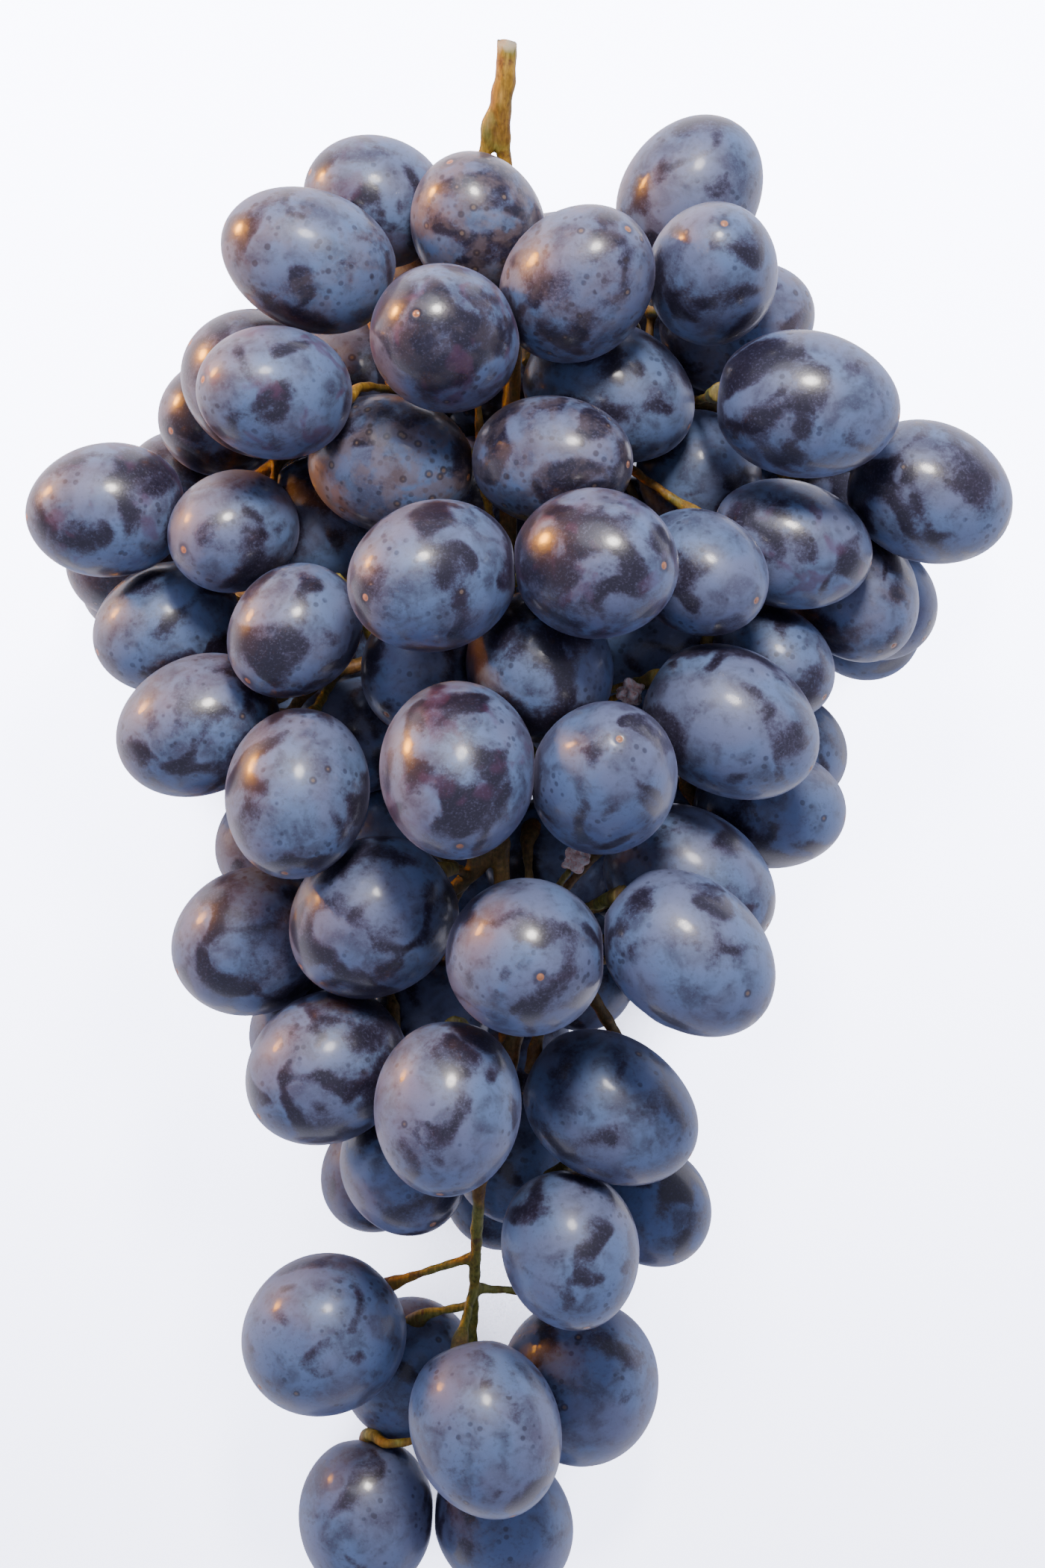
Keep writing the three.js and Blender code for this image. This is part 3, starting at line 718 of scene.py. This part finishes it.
def grape_skin():
    """Grape skin under its natural wax: a matte slate-blue bloom, rubbed through to satin blue-black."""
    material, tree, shader = new_material("grape skin with waxy bloom")
    where = add_node(tree, "TexCoord", {}, {}, "Object")
    tint = add_node(tree, "Attribute", {"attribute_name": "tint"}, {}, "Fac")
    russet = add_node(tree, "Attribute", {"attribute_name": "russet"}, {}, "Fac")
    handled = add_node(tree, "Attribute", {"attribute_name": "handled"}, {}, "Fac")
    rub = add_node(tree, "Attribute", {"attribute_name": "rub"}, {}, "Fac")
    tip = add_node(tree, "Attribute", {"attribute_name": "tip"}, {}, "Fac")
    place = {"Vector": where}

    # Fingers and neighbours rub the bloom thin in soft-edged smudges, more of them on some berries.
    # Where berries touch, the darkening is also painted shade between them.
    patches = add_node(tree, "TexNoise", cloudy(8, 1, 0.4, 0.9), place)
    mottle = add_node(tree, "TexNoise", cloudy(2.6, 5, 0.68, 0.6), place)
    grain = add_node(tree, "TexNoise", cloudy(0.6, 3, 0.65), place)
    field = add_node(tree, "Math", weigh(0.25), {0: mottle, 2: patches})
    field = add_node(tree, "Math", weigh(0.12), {0: grain, 2: field})
    field = add_node(tree, "Math", weigh(0.27), {0: handled, 2: field})
    smudge = add_node(tree, "MapRange", spread(0.81, 1.03, 0.0, 0.92), {"Value": field})
    # Near each neighbour the wax is darker: partly rubbed thin, partly painted shade between the
    # berries.
    pressed = add_node(tree, "Math", weigh(0.9), {0: mottle, 2: rub})
    contact_rub_and_shade = add_node(tree, "MapRange", spread(0.55, 1.05, 0.0, 0.8), {"Value": pressed})
    worn_and_contact_shade = add_node(tree, "Math", LARGER, {0: smudge, 1: contact_rub_and_shade})

    # What is left of the bloom is uneven too: thin veils, clouds and fine flecks.
    veil = add_node(tree, "TexNoise", cloudy(4.2, 3, 0.55, 0.4), place)
    veil = add_node(tree, "MapRange", spread(0.40, 0.68, 0.0, 0.45), {"Value": veil})
    worn_and_contact_shade = add_node(tree, "Math", LARGER, {0: worn_and_contact_shade, 1: veil})
    clear = add_node(tree, "Math", {"operation": "SUBTRACT", 0: 1.0}, {1: worn_and_contact_shade})
    flecks = add_node(tree, "TexNoise", cloudy(0.9, 3, 0.7), place)
    flecks = add_node(tree, "MapRange", spread(0.50, 0.72, 1.0, 0.78), {"Value": flecks})
    wax = add_node(tree, "Math", TIMES, {0: clear, 1: flecks})
    dust = add_node(tree, "TexNoise", cloudy(0.35, 2, 0.6), place)
    dust = add_node(tree, "MapRange", spread(0.50, 0.70, 0.0, 0.30), {"Value": dust})
    dust = add_node(tree, "Math", TIMES, {0: dust, 1: worn_and_contact_shade})
    wax = add_node(tree, "Math", ADD, {0: wax, 1: dust})

    # Thin wax looks brownish violet and thick wax slate blue, greyer in places.
    stops = [(0.0, "#15121e"), (0.25, "#282536"), (0.5, "#3d4158"), (0.75, "#505e7a"), (1.0, "#5b6f95")]
    colour = add_node(tree, "ValToRGB", {"stops": stops}, {"Fac": wax})
    grey = add_node(tree, "TexNoise", cloudy(12, 2, 0.5), place)
    grey = add_node(tree, "MapRange", spread(0.42, 0.62, 0.0, 0.45), {"Value": grey})
    grey = add_node(tree, "Math", TIMES, {0: grey, 1: wax})
    colour = add_node(tree, "Mix", {**MIX, 7: linear("#6a667c")}, {0: grey, 6: colour}, MIXED)
    wine = add_node(tree, "TexNoise", cloudy(5, 2, 0.5, 0.5), place)
    wine = add_node(tree, "MapRange", spread(0.54, 0.66, 0.0, 0.6), {"Value": wine})
    wine = add_node(tree, "Math", TIMES, {0: wine, 1: tint})
    colour = add_node(tree, "Mix", {**MIX, 7: linear("#4e2c47")}, {0: wine, 6: colour}, MIXED)

    # Dried drops left dark spots about a millimetre wide, in swarms.
    dot_cells = add_node(tree, "TexVoronoi", {"Scale": per_mm(1.6)}, place, "Distance")
    dot = add_node(tree, "MapRange", spread(0.32, 0.20), {"Value": dot_cells})
    swarm = add_node(tree, "TexNoise", cloudy(7, 2, 0.5), place)
    swarm = add_node(tree, "Math", weigh(0.3), {0: russet, 2: swarm})
    swarm = add_node(tree, "MapRange", spread(0.48, 0.62, 0.0, 0.55), {"Value": swarm})
    dot = add_node(tree, "Math", TIMES, {0: dot, 1: swarm})
    colour = add_node(tree, "Mix", {**MIX, 7: linear("#1c1824")}, {0: dot, 6: colour}, MIXED)

    # Russet: a brownish cast and corky specks half a millimetre wide in a dark ring, on a few berries.
    cast = add_node(tree, "TexNoise", cloudy(3.5, 3, 0.6, 0.3), place)
    cast = add_node(tree, "MapRange", spread(0.42, 0.60, 0.0, 0.7), {"Value": cast})
    cast = add_node(tree, "Math", TIMES, {0: cast, 1: russet})
    colour = add_node(tree, "Mix", {**MIX, 7: linear("#6e5f60")}, {0: cast, 6: colour}, MIXED)
    speck_cells = add_node(tree, "TexVoronoi", {"Scale": per_mm(2.1)}, place, "Distance")
    speck_tone = add_node(tree, "SeparateColor", {}, {"Color": speck_cells.node.outputs["Color"]})
    chance = add_node(tree, "Math", weigh(0.7), {0: russet, 2: speck_tone})
    chosen = add_node(tree, "Math", {"operation": "GREATER_THAN", 1: 1.0}, {0: chance})
    ring = add_node(tree, "MapRange", spread(0.34, 0.24, 0.0, 0.65), {"Value": speck_cells})
    ring = add_node(tree, "Math", TIMES, {0: ring, 1: chosen})
    colour = add_node(tree, "Mix", {**MIX, 7: linear("#2b2124")}, {0: ring, 6: colour}, MIXED)
    cork = add_node(tree, "MapRange", spread(0.18, 0.10, 0.0, 0.65), {"Value": speck_cells})
    cork = add_node(tree, "Math", TIMES, {0: cork, 1: chosen})
    colour = add_node(tree, "Mix", {**MIX, 7: linear("#7c6858")}, {0: cork, 6: colour}, MIXED)

    # The scar where the flower's style dried off: a pinkish-brown dot in a dark ring.
    outside = add_node(tree, "MapRange", spread(1.4, 0.7, 0.0, 0.5), {"Value": tip})
    colour = add_node(tree, "Mix", {**MIX, 7: linear("#1d1620")}, {0: outside, 6: colour}, MIXED)
    scar = add_node(tree, "MapRange", spread(0.62, 0.42), {"Value": tip})
    colour = add_node(tree, "Mix", {**MIX, 7: linear("#9c6a4c")}, {0: scar, 6: colour}, MIXED)
    tree.links.new(colour, shader.inputs["Base Color"])

    # Bare skin is satin under a thin gloss, and wax is matte.
    matte = add_node(tree, "MapRange", spread(0.0, 1.0, 0.34, 0.50), {"Value": wax})
    tree.links.new(matte, shader.inputs["Roughness"])
    gloss = add_node(tree, "MapRange", spread(0.0, 1.0, 0.60, 0.22), {"Value": wax})
    tree.links.new(gloss, shader.inputs["Coat Weight"])
    shader.inputs["Coat Roughness"].default_value = 0.16
    shader.inputs["IOR"].default_value = 1.45
    shader.inputs["Sheen Weight"].default_value = 0.15
    shader.inputs["Sheen Roughness"].default_value = 0.35
    shader.inputs["Sheen Tint"].default_value = linear("#b4b2dc")

    height = add_node(tree, "Math", weigh(-0.5), {0: dot, 2: grain})
    height = add_node(tree, "Math", weigh(0.4), {0: ring, 2: height})
    relief = {"Strength": 0.12, "Distance": 0.25 * MM}
    tree.links.new(add_node(tree, "Bump", relief, {"Height": height}), shader.inputs["Normal"])
    return material


def green_stem():
    """Grape stem: ochre and green ridged bark that dries to brown cork at knots, collars and its cut."""
    material, tree, shader = new_material("grape stem, ochre green drying to brown")
    where = add_node(tree, "TexCoord", {}, {}, "Object")
    brown = add_node(tree, "Attribute", {"attribute_name": "brown"}, {}, "Fac")
    shade = add_node(tree, "Attribute", {"attribute_name": "shade"}, {}, "Fac")
    pith = add_node(tree, "Attribute", {"attribute_name": "pith"}, {}, "Fac")
    place = {"Vector": where}

    # The bark's fibres run along the stem, which lies along Y.
    drawn_out = add_node(tree, "Mapping", {"Scale": (1, 0.16, 1)}, place)
    fibres = add_node(tree, "TexNoise", cloudy(0.55, 4, 0.6, 0.3), {"Vector": drawn_out})
    age = add_node(tree, "TexNoise", cloudy(7, 2, 0.5), place)
    age = add_node(tree, "Math", weigh(0.2), {0: shade, 2: age})
    age = add_node(tree, "MapRange", spread(0.54, 0.72), {"Value": age})
    stops = [(0.30, "#6b4a12"), (0.50, "#96701c"), (0.72, "#b98e30")]
    ochre = add_node(tree, "ValToRGB", {"stops": stops}, {"Fac": fibres})
    stops = [(0.30, "#54541a"), (0.50, "#7a7a2c"), (0.72, "#9c9948")]
    green = add_node(tree, "ValToRGB", {"stops": stops}, {"Fac": fibres})
    colour = add_node(tree, "Mix", MIX, {0: age, 6: ochre, 7: green}, MIXED)
    cork = add_node(tree, "TexNoise", cloudy(0.7, 4, 0.7), place)
    stops = [(0.3, "#2a160f"), (0.52, "#5c3822"), (0.8, "#8a6040")]
    cork = add_node(tree, "ValToRGB", {"stops": stops}, {"Fac": cork})
    spots = add_node(tree, "TexNoise", cloudy(2.4, 4, 0.65, 0.5), place)
    spots = add_node(tree, "MapRange", spread(0.54, 0.68, 0.0, 0.7), {"Value": spots})
    # Brown is dried cork at knots and collars, and painted shade on the stem deep inside the bunch.
    dried_and_deep_shade = add_node(tree, "Math", LARGER, {0: brown, 1: spots})
    colour = add_node(tree, "Mix", MIX, {0: dried_and_deep_shade, 6: colour, 7: cork}, MIXED)
    colour = add_node(tree, "Mix", {**MIX, 7: linear("#a8997a")}, {0: pith, 6: colour}, MIXED)
    tree.links.new(colour, shader.inputs["Base Color"])
    shader.inputs["Roughness"].default_value = 0.55
    shader.inputs["IOR"].default_value = 1.45
    relief = {"Strength": 0.5, "Distance": 0.25 * MM}
    tree.links.new(add_node(tree, "Bump", relief, {"Height": fibres}), shader.inputs["Normal"])
    return material


def dried_bud():
    """A flower bud that dried before it swelled: papery, pinkish brown and crumpled."""
    material, tree, shader = new_material("dried bud, papery")
    where = add_node(tree, "TexCoord", {}, {}, "Object")
    flakes = add_node(tree, "TexNoise", cloudy(0.9, 4, 0.7, 0.8), {"Vector": where})
    stops = [(0.30, "#b97f6e"), (0.46, "#f2cabd"), (0.62, "#fff4ee")]
    colour = add_node(tree, "ValToRGB", {"stops": stops}, {"Fac": flakes})
    tree.links.new(colour, shader.inputs["Base Color"])
    shader.inputs["Roughness"].default_value = 0.8
    relief = {"Strength": 0.8, "Distance": 0.3 * MM}
    tree.links.new(add_node(tree, "Bump", relief, {"Height": flakes}), shader.inputs["Normal"])
    return material


def pale_floor():
    """A matte white table top, as bright to the eye as a light box, yet hardly lighting the grapes."""
    material, tree, shader = new_material("matte white table top")
    where = add_node(tree, "TexCoord", {}, {}, "Object")
    cloud = add_node(tree, "TexNoise", cloudy(160, 1, 0.4), {"Vector": where})
    colour = add_node(tree, "ValToRGB", {"stops": [(0.3, "#e4e6ee"), (0.7, "#ececf4")]}, {"Fac": cloud})
    tree.links.new(colour, shader.inputs["Base Color"])
    shader.inputs["Roughness"].default_value = 0.8
    shader.inputs["Emission Color"].default_value = linear("#e2e6ff")
    along = add_node(tree, "SeparateXYZ", {}, {"Vector": where}, "Y")
    glow = spread(TABLE_TAIL[0], TABLE_STEM[0], TABLE_TAIL[1], TABLE_STEM[1])
    glow = add_node(tree, "MapRange", glow, {"Value": along})

    # Deep in the small gaps between berries, where little of the sky is open, the table is dark.
    open_sky = add_node(tree, "AmbientOcclusion", {"samples": 6, "Distance": 60 * MM}, {}, "AO")
    open_sky = add_node(tree, "MapRange", spread(0.10, 0.35), {"Value": open_sky})
    glow = add_node(tree, "Math", TIMES, {0: open_sky, 1: glow})
    seen = add_node(tree, "LightPath", {}, {}, "Is Camera Ray")
    glow = add_node(tree, "Math", TIMES, {0: seen, 1: glow})
    glow = add_node(tree, "Math", {**ADD, 1: TABLE_GLOW}, {0: glow})
    tree.links.new(glow, shader.inputs["Emission Strength"])
    return material


# The grapes.

def select_where(piece, test):
    """Selects the vertices that a test on their place picks out, in edit mode's vertex select."""
    bpy.ops.object.mode_set(mode="EDIT")
    bpy.ops.mesh.select_mode(type="VERT")
    bpy.ops.mesh.select_all(action="DESELECT")
    bpy.ops.object.mode_set(mode="OBJECT")
    for vertex in piece.data.vertices:
        vertex.select = test(vertex.co)
    bpy.ops.object.mode_set(mode="EDIT")


def model_grape(levels):
    """One grape of unit size, its scarred tip on +Z, fuller at its dimpled stem end."""
    bpy.ops.mesh.primitive_uv_sphere_add(segments=SKIN_SEGMENTS, ring_count=SKIN_RINGS, radius=1)
    grape = bpy.context.object
    first_ring = math.cos(math.pi / SKIN_RINGS)
    select_where(grape, lambda place: place.z > first_ring - 0.002)
    for thickness, depth in SCAR_INSETS:
        bpy.ops.mesh.inset(thickness=thickness, depth=depth)
    select_where(grape, lambda place: place.z < -first_ring + 0.002)
    bpy.ops.transform.translate(
        value=(0, 0, DIMPLE_DEPTH),
        use_proportional_edit=True,
        proportional_edit_falloff="SMOOTH",
        proportional_size=DIMPLE_WIDTH,
    )
    bpy.ops.object.mode_set(mode="OBJECT")
    apply_modifier(grape, "SIMPLE_DEFORM", deform_method="TAPER", deform_axis="Z", factor=TAPER)
    if levels:
        apply_modifier(grape, "SUBSURF", levels=levels, render_levels=levels)
    bpy.ops.object.shade_smooth()
    return grape


def lumps(directions, seed):
    """Slow swells over a berry's skin, under 2% of its radius, in directions drawn for each berry."""
    draw = np.random.default_rng(seed)
    swell = np.zeros(len(directions))
    for waves in SWELL_WAVES:
        way = draw.normal(size=3)
        way /= np.linalg.norm(way)
        swell += np.sin(directions @ way * waves + draw.uniform(0, 6.28)) * SWELL / waves
    return 1 + swell


def press_on_others(bunch, row, places):
    """A berry's skin flattened where it presses on others, and how much each place of it rubs and lies
    in painted shade.
    """
    rub = np.zeros(len(places))
    spans = np.linalg.norm(bunch.at - bunch.at[row], axis=1)
    for other in np.flatnonzero((spans > 0) & (spans < NEIGHBOUR_REACH)):
        way = (bunch.at[other] - bunch.at[row]) / spans[other]
        own = bunch.reach(row, way)
        over = own + bunch.reach(other, way) - spans[other]
        if over < -RUB_AND_SHADE_REACH:
            continue
        along = places @ way
        # Places near a neighbour get rubbed wax and painted shade, more the closer they are.
        rub = np.maximum(rub, np.clip((along - own + RUB_AND_SHADE_WIDTH) / RUB_AND_SHADE_WIDTH, 0, 1))
        if over > 0:
            limit = own - over / 2 - CONTACT_GAP
            start = limit - SOFT_EDGE
            pressed = limit - SOFT_EDGE * np.exp(-np.maximum(0, along - start) / SOFT_EDGE)
            places = places - np.where(along > start, along - pressed, 0)[:, None] * way
    return places, rub ** RUB_AND_SHADE_FALLOFF


def place_grape(bunch, row, template, name):
    """Copies the grape to its place, swells it, and flattens it where it presses on others."""
    grape = template.copy()
    grape.data = template.data.copy()
    grape.name = name
    bpy.context.collection.objects.link(grape)
    places = vertices_of(grape)
    directions = places / np.linalg.norm(places, axis=1)[:, None]
    tip_span = np.linalg.norm((places - places[places[:, 2].argmax()]) * bunch.side[row], axis=1)
    places = places * lumps(directions, row)[:, None]
    places = places * (bunch.side[row], bunch.side[row], bunch.end[row]) * FULLER
    spin = Vector((0, 0, 1)).rotation_difference(Vector(bunch.axis[row])).to_matrix()
    places = places @ np.array(spin).T
    places, rub = press_on_others(bunch, row, places)
    places = places + bunch.at[row]
    soft = SOFT_EDGE_ON_TABLE
    height = places[:, 2]
    places[:, 2] = np.where(height < soft, soft * np.exp((height - soft) / soft), height)
    set_vertices(grape, in_frame(places))
    # How much each place is rubbed and darkened with painted shade where berries touch.
    set_attribute(grape, "rub", rub)
    set_attribute(grape, "tip", np.minimum(tip_span, TIP_REACH))
    return grape


def handling(draw, place):
    """How much a berry's wax was rubbed, 0 to 1: those near the top, where a hand holds it, the most."""
    high_up = min(1, max(0, (place[1] - HANDLED_FROM) / (HANDLED_TO - HANDLED_FROM)))
    return HANDLED_LEAST + HANDLED_BY_CHANCE * draw.uniform() + HANDLED_BY_PLACE * high_up


def make_grapes(bunch, skin):
    """Every berry as a piece of its own; those that are hidden have a coarser skin."""
    outer = model_grape(1)
    inner = model_grape(0)
    for row, spray in enumerate(bunch.spray):
        template = inner if bunch.inner[row] else outer
        grape = place_grape(bunch, row, template, f"grape_{spray}_{bunch.index[row] + 1}")
        count = len(grape.data.vertices)
        draw = np.random.default_rng(FIRST_SEED + row)
        tint = PURPLE_BERRIES.get((spray, bunch.index[row]), SLIGHT_TINT * draw.uniform())
        russet = RUSSET_BERRIES.get((spray, bunch.index[row]), SLIGHT_RUSSET * draw.uniform())
        set_attribute(grape, "tint", np.full(count, tint))
        set_attribute(grape, "russet", np.full(count, russet))
        set_attribute(grape, "handled", np.full(count, handling(draw, bunch.at[row])))
        grape.data.materials.append(skin)
        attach(grape, "root")
        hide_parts(f"spray_{spray}")
    for template in (outer, inner):
        bpy.data.objects.remove(template)


# The stem.

def add_spline(curve, places, radii):
    """Adds a smooth line through the places to a curve, with a radius at each of them."""
    spline = curve.splines.new("BEZIER")
    spline.bezier_points.add(len(places) - 1)
    for point, place, radius in zip(spline.bezier_points, in_frame(places), radii):
        point.co = place
        point.radius = radius
        point.handle_left_type = "AUTO"
        point.handle_right_type = "AUTO"
    spline.resolution_u = 5


def add_stalk(curve, stalk):
    """One berry's stalk, its collar a little longer than its line, down into the berry's dimple."""
    push = (stalk[-1] - stalk[-2]) / np.linalg.norm(stalk[-1] - stalk[-2])
    line = np.vstack([stalk[:-1], stalk[-1] + COLLAR_REACH * push])
    middle = (STALK_MIDDLE,) * (len(line) - len(STALK_FOOT) - len(STALK_COLLAR))
    add_spline(curve, line, STALK_FOOT + middle + STALK_COLLAR)


def make_stem(growth, material):
    """One skin over the peduncle, main stem, branches and stalks, lumpy like a dried twig."""
    bpy.ops.curve.primitive_bezier_curve_add()
    stem = bpy.context.object
    stem.name = "stem_with_stalks"
    curve = stem.data
    curve.splines.clear()
    curve.bevel_depth = MM
    curve.bevel_resolution = 3
    curve.use_fill_caps = True
    add_spline(curve, PEDUNCLE + MAIN_STEM[PEDUNCLE_INSTEAD_OF:], PEDUNCLE_RADII + MAIN_RADII)
    for spray, (branch, stalks, buds) in growth.items():
        if spray == "crown":
            line = np.vstack([LEFT_LEG, branch[1:]])
        else:
            line = np.vstack([nearest(STEM_POINTS, branch[0])[0], branch])
        foot = THIN_BRANCH_FOOT if spray in THIN_BRANCHES else BRANCH_FOOT
        add_spline(curve, line, np.linspace(foot, BRANCH_END, len(line)))
        for stalk in stalks:
            add_stalk(curve, stalk)
        for _, stalk in buds:
            add_spline(curve, stalk[:-1], np.linspace(*BUD_STALK, len(stalk) - 1))
    only(stem)
    bpy.ops.object.convert(target="MESH")
    apply_modifier(stem, "REMESH", mode="VOXEL", voxel_size=STEM_CELL * MM)
    apply_modifier(stem, "SMOOTH", factor=0.5, iterations=2)
    apply_modifier(stem, "DECIMATE", ratio=STEM_FACES_KEPT)
    roughen(stem)
    cut_end(stem)
    bpy.ops.object.shade_smooth()
    colour_stem(stem, growth)
    stem.data.materials.clear()
    stem.data.materials.append(material)
    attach(stem, "root")
    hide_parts("main_stem", *[f"spray_{spray}" for spray in BERRIES])


def roughen(stem):
    """Knobs and hollows of a tenth of a millimetre or two all along the bark."""
    places = vertices_of(stem)
    normals = np.empty(len(places) * 3)
    stem.data.vertices.foreach_get("normal", normals)
    mm = places / MM
    waves = sum(np.sin(mm @ np.array(way) + start) for way, start in BARK_WAVES)
    set_vertices(stem, places + normals.reshape(-1, 3) * (BARK_RELIEF * waves * MM)[:, None])


def cut_end(stem):
    """The shears went through the peduncle at a slant."""
    only(stem)
    bpy.ops.object.mode_set(mode="EDIT")
    bpy.ops.mesh.select_all(action="SELECT")
    bpy.ops.mesh.bisect(
        plane_co=in_frame(CUT_PLACE),
        plane_no=CUT_SLANT,
        use_fill=True,
        clear_outer=True,
    )
    bpy.ops.object.mode_set(mode="OBJECT")


def colour_stem(stem, growth):
    """The stem is brown near the berries and at its forks, painted brown as shade deep inside, and its
    cut shows pith.
    """
    marks = [(in_frame(PEDUNCLE[FORK]), *FORK_MARK)]
    for branch, stalks, _ in growth.values():
        marks.append((in_frame(branch[0]), *BRANCH_MARK))
        marks += [(in_frame(stalk[-1]), *COLLAR_MARK) for stalk in stalks]
    tree = KDTree(len(marks))
    for number, (place, _, _) in enumerate(marks):
        tree.insert(Vector(place), number)
    tree.balance()
    places = vertices_of(stem)
    brown = np.zeros(len(places))
    for k, place in enumerate(places):
        _, number, span = tree.find(Vector(place))
        _, size, depth = marks[number]
        brown[k] = depth * max(0.0, 1 - (span / MM) / size) ** MARK_FALLOFF
    mm = places / MM
    inside = np.clip((INSIDE_DOWN_FROM[0] - mm[:, 1]) / INSIDE_DOWN_FROM[1], 0, 1)
    # Deep inside the bunch, under the berries, the stem is painted brown as shade.
    above_tail = np.clip((mm[:, 1] - DEEP_SHADE_DOWN_TO[0]) / DEEP_SHADE_DOWN_TO[1], 0, 1)
    deep = above_tail * np.clip((DEEP_SHADE_UP_TO[0] - mm[:, 2]) / DEEP_SHADE_UP_TO[1], 0, 1)
    set_attribute(stem, "brown", np.maximum(brown, DEEP_SHADE_BROWN * inside * deep))
    set_attribute(stem, "shade", inside)
    depth = (places - in_frame(CUT_PLACE)) @ np.array(CUT_SLANT) / MM
    set_attribute(stem, "pith", np.clip((depth + PITH_UNDER_CUT[0]) / PITH_UNDER_CUT[1], 0, 1))


def make_buds(growth, material):
    """The dried buds, each a crumpled ball at the end of its stalk."""
    number = 0
    for spray, (_, _, buds) in growth.items():
        for place, _ in buds:
            number += 1
            bpy.ops.mesh.primitive_ico_sphere_add(subdivisions=4, radius=BUD_SIDE * MM)
            bud = bpy.context.object
            bud.name = f"dried_bud_{number}"
            shape = vertices_of(bud)
            directions = shape / np.linalg.norm(shape, axis=1)[:, None]
            folds = sum(
                BUD_FOLD * np.sin(directions @ np.array(way) * BUD_FOLD_WAVES + number)
                for way in BUD_FOLD_WAYS
            )
            shape = shape * (1 + folds)[:, None] * BUD_SHAPE
            set_vertices(bud, shape + in_frame(place))
            bpy.ops.object.shade_smooth()
            bud.data.materials.append(material)
            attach(bud, "root")
            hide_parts(f"spray_{spray}")


# Floor, light and camera.

def make_floor(material):
    """The table top, a hair under the bunch."""
    bpy.ops.mesh.primitive_plane_add(size=TABLE_WIDTH, location=(0, 0, -0.02 * MM))
    floor = bpy.context.object
    floor.name = "table_top"
    floor.data.materials.append(material)


def add_light(name, place, aim, size, spread_angle, power, code):
    """A round area light at a place, turned to where it aims."""
    bpy.ops.object.light_add(type="AREA", location=place)
    light = bpy.context.object
    light.name = name
    light.data.shape = "DISK"
    light.data.size = size
    light.data.spread = math.radians(spread_angle)
    light.data.energy = power
    light.data.color = linear(code)[:3]
    light.rotation_euler = (Vector(aim) - Vector(place)).to_track_quat("-Z", "Y").to_euler()


def make_lights():
    """The lights, and the pale room that lights everything a little."""
    for light in LIGHTS:
        add_light(*light)
    world = bpy.data.worlds.new("pale room")
    world.use_nodes = True
    background = world.node_tree.nodes["Background"]
    background.inputs["Color"].default_value = linear(ROOM_COLOUR)
    background.inputs["Strength"].default_value = ROOM_LIGHT
    bpy.context.scene.world = world


def make_camera():
    """The camera looks straight down from the eye that the berries' places are written for."""
    place = in_frame((0, 0, EYE_HEIGHT))
    bpy.ops.object.camera_add(location=place, rotation=(0, 0, 0))
    camera = bpy.context.object
    camera.data.sensor_width = SENSOR
    camera.data.lens = SENSOR * (EYE_HEIGHT - MIDDLE_HEIGHT) / VIEW_HEIGHT_AT_MIDDLE
    camera.data.clip_start = 0.01
    bpy.context.scene.camera = camera


make_camera()
bunch = grow_bunch()
growth = {spray: grow_stalks(bunch, spray) for spray in BERRIES}
make_grapes(bunch, grape_skin())
make_stem(growth, green_stem())
make_buds(growth, dried_bud())
make_floor(pale_floor())
make_lights()
